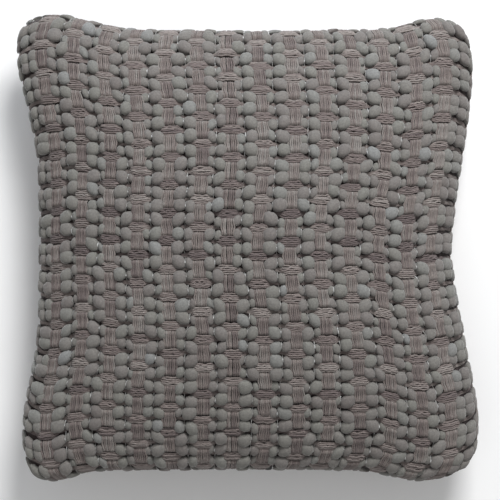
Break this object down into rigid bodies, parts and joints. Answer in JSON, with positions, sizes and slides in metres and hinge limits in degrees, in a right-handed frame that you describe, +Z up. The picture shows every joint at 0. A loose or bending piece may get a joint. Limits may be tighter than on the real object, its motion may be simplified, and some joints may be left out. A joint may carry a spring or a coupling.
{
  "type": "throw pillow",
  "caption": "Square throw pillow lying flat: chunky pebble-weave front, plain canvas back, zip in one side seam, and a fibre-filled insert.",
  "frame": {"origin": "middle of the face the pillow rests on, under the middle of its outline", "axes": "+Z up through the thickness, with the woven front on top; +Y to the head of the front; the zip is in the -Y seam"},
  "size_m": [0.447, 0.4522, 0.1302],
  "materials": {
    "woven_front": "matte",
    "lining": "matte",
    "canvas": "matte",
    "label": "matte",
    "overlock": "matte",
    "thread": "matte",
    "zip_tape": "matte",
    "zip_coil": "satin",
    "zip_metal": "satin",
    "casing": "matte",
    "fill": "matte"
  },
  "bodies": {
    "cover": {"front_panel": "woven_front", "front_lining": "lining", "back_panel": "canvas", "care_label": "label", "seam_allowance": "overlock", "seam_thread": "thread", "zip_tape_upper": "zip_tape", "zip_tape_lower": "zip_tape", "zip_coil_upper": "zip_coil", "zip_coil_lower": "zip_coil", "zip_top_stops": "zip_metal", "zip_bottom_stop": "zip_metal", "zip_stitching": "thread", "insert_casing_front": "casing", "insert_casing_back": "casing", "insert_seam": "casing", "insert_closing_stitch": "thread", "insert_fill": "fill"},
    "zip_slider": {"zip_slider": "zip_metal"},
    "zip_pull": {"zip_pull": "zip_metal"}
  },
  "joints": [
    {"name": "zip_slide", "type": "slide", "parent": "cover", "child": "zip_slider", "axis": [-1, 0, 0], "range_m": [0, 0.239]},
    {"name": "pull_hinge", "type": "hinge", "parent": "zip_slider", "child": "zip_pull", "pos_m": [0.0965, -0.21175, 0.058], "axis": [0, 0, 1], "range_deg": [0, 120]}
  ]
}
